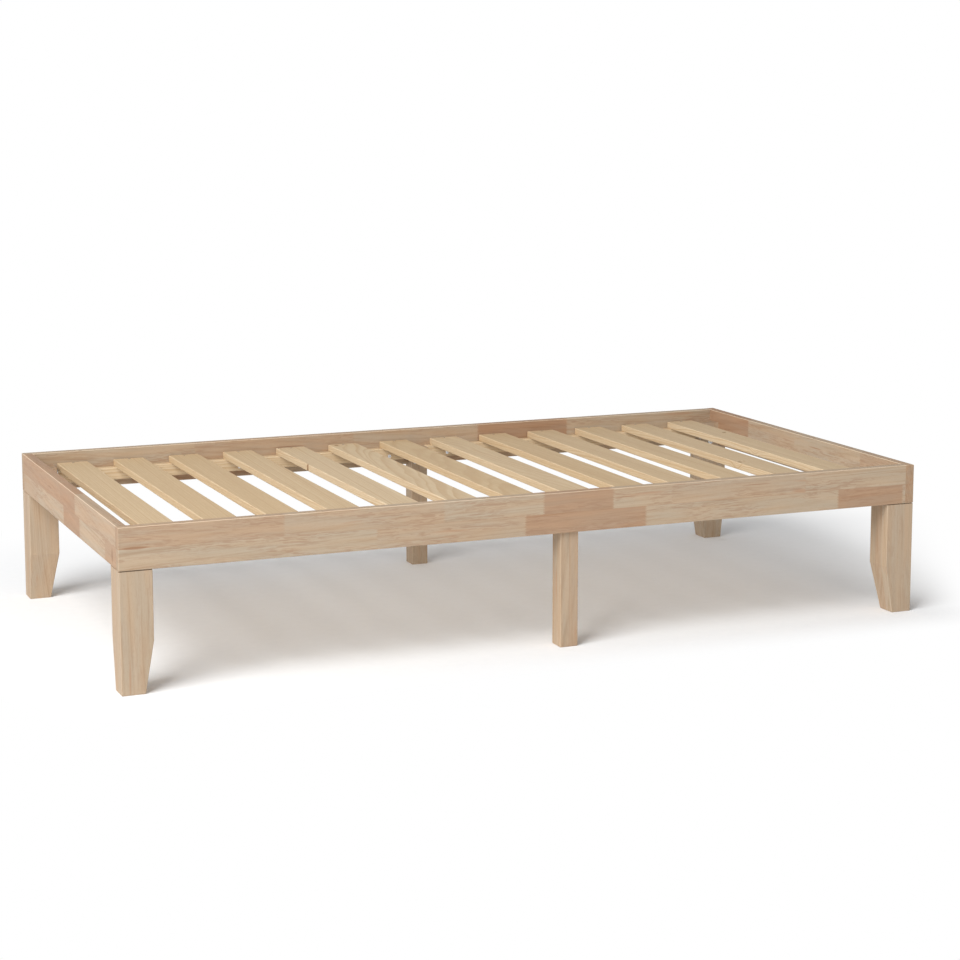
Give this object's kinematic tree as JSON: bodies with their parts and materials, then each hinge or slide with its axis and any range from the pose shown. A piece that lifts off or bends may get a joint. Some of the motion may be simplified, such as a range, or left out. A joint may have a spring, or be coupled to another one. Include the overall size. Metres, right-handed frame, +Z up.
{
  "type": "bed frame",
  "caption": "Low wooden platform bed frame: a plain rail rim on tapered corner legs and straight middle legs, with cross slats on ledgers to carry a twin mattress",
  "frame": {"origin": "on the floor, under the middle of the frame", "axes": "+X along the bed to the head end, +Y to the left as seen from the foot end, +Z up"},
  "size_m": [2.02, 1.042, 0.374],
  "materials": {
    "rail_wood": "clear satin lacquer",
    "leg_wood": "clear satin lacquer",
    "slat_wood": "planed, bare",
    "ledger_wood": "planed, bare",
    "zinc_steel": "zinc plated",
    "insert_metal": "yellow zinc"
  },
  "bodies": {
    "root": {"side_rail_right": "rail_wood", "side_rail_left": "rail_wood", "foot_rail": "rail_wood", "head_rail": "rail_wood", "leg_foot_right": "leg_wood", "leg_foot_left": "leg_wood", "leg_head_right": "leg_wood", "leg_head_left": "leg_wood", "mid_leg_right": "leg_wood", "mid_leg_left": "leg_wood", "slat_01": "slat_wood", "slat_02": "slat_wood", "slat_03": "slat_wood", "slat_04": "slat_wood", "slat_05": "slat_wood", "slat_06": "slat_wood", "slat_07": "slat_wood", "slat_08": "slat_wood", "slat_09": "slat_wood", "slat_10": "slat_wood", "slat_11": "slat_wood", "slat_12": "slat_wood", "slat_13": "slat_wood", "ledger_right_foot": "ledger_wood", "ledger_right_head": "ledger_wood", "ledger_left_foot": "ledger_wood", "ledger_left_head": "ledger_wood", "side_rail_bolts": "zinc_steel", "end_rail_bolts": "zinc_steel", "mid_leg_bolts": "zinc_steel", "bolt_washers": "zinc_steel", "ledger_screws": "zinc_steel", "slat_screws": "zinc_steel", "bolt_inserts": "insert_metal"}
  },
  "joints": []
}
